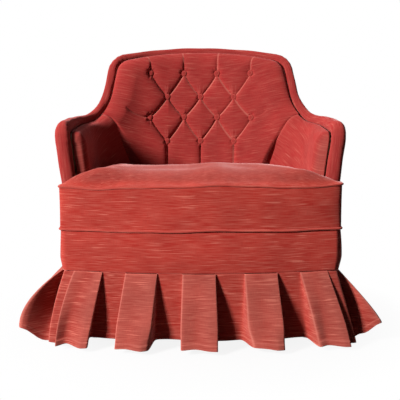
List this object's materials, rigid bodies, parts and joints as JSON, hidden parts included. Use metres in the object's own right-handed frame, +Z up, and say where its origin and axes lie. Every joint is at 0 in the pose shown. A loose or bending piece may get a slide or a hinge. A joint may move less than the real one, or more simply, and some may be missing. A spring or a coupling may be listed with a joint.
{
  "type": "crapaud armchair",
  "caption": "Low round-backed crapaud armchair with a deep-buttoned back, padded edge roll, loose T-shaped seat cushion and box-pleated skirt over short legs.",
  "frame": {"origin": "floor level under the middle of the chair's plan box", "axes": "+X to the right of the picture, +Y from the seat front to the back, +Z up"},
  "size_m": [0.9152, 0.7051, 0.744],
  "materials": {
    "velvet": "coral red strie velvet with paler slub streaks",
    "beech": "planed beech, unfinished inside, oiled legs",
    "steel": "zinc-plated bolts and nail glides",
    "hessian": "plain woven jute hessian",
    "webbing": "herringbone jute webbing",
    "padding": "cotton felt and foam",
    "dust_cloth": "black cambric",
    "deck_cloth": "plain cotton platform cloth"
  },
  "bodies": {
    "chair": {"front_apron": "velvet", "left_outside_arm": "velvet", "right_outside_arm": "velvet", "outside_back": "velvet", "inside_back": "velvet", "back_buttons": "velvet", "left_inside_arm": "velvet", "right_inside_arm": "velvet", "edge_roll": "velvet", "front_skirt": "velvet", "left_skirt": "velvet", "right_skirt": "velvet", "back_skirt": "velvet", "front_seat_rail": "beech", "left_seat_rail": "beech", "right_seat_rail": "beech", "left_corner_rail": "beech", "right_corner_rail": "beech", "back_seat_rail": "beech", "corner_blocks": "beech", "front_left_leg": "beech", "front_right_leg": "beech", "rear_left_leg": "beech", "rear_right_leg": "beech", "left_arm_stump": "beech", "right_arm_stump": "beech", "left_arm_rail": "beech", "right_arm_rail": "beech", "left_back_post": "beech", "right_back_post": "beech", "back_top_rail": "beech", "left_arm_stay_rail": "beech", "right_arm_stay_rail": "beech", "back_stay_rail": "beech", "frame_dowels": "beech", "leg_bolts": "steel", "leg_glides": "steel", "seat_hessian": "hessian", "back_hessian": "hessian", "left_arm_hessian": "hessian", "right_arm_hessian": "hessian", "seat_webbing": "webbing", "back_webbing": "webbing", "seat_deck_pad": "padding", "dust_cover": "dust_cloth", "deck_cover": "deck_cloth"},
    "cushion": {"cushion_cover": "velvet", "cushion_filling": "padding", "cushion_top_welt": "velvet", "cushion_lower_welt": "velvet"}
  },
  "joints": [
    {"name": "cushion_lift", "type": "slide", "parent": "chair", "child": "cushion", "axis": [0, 0, 1], "range_m": [0, 0.27]}
  ]
}
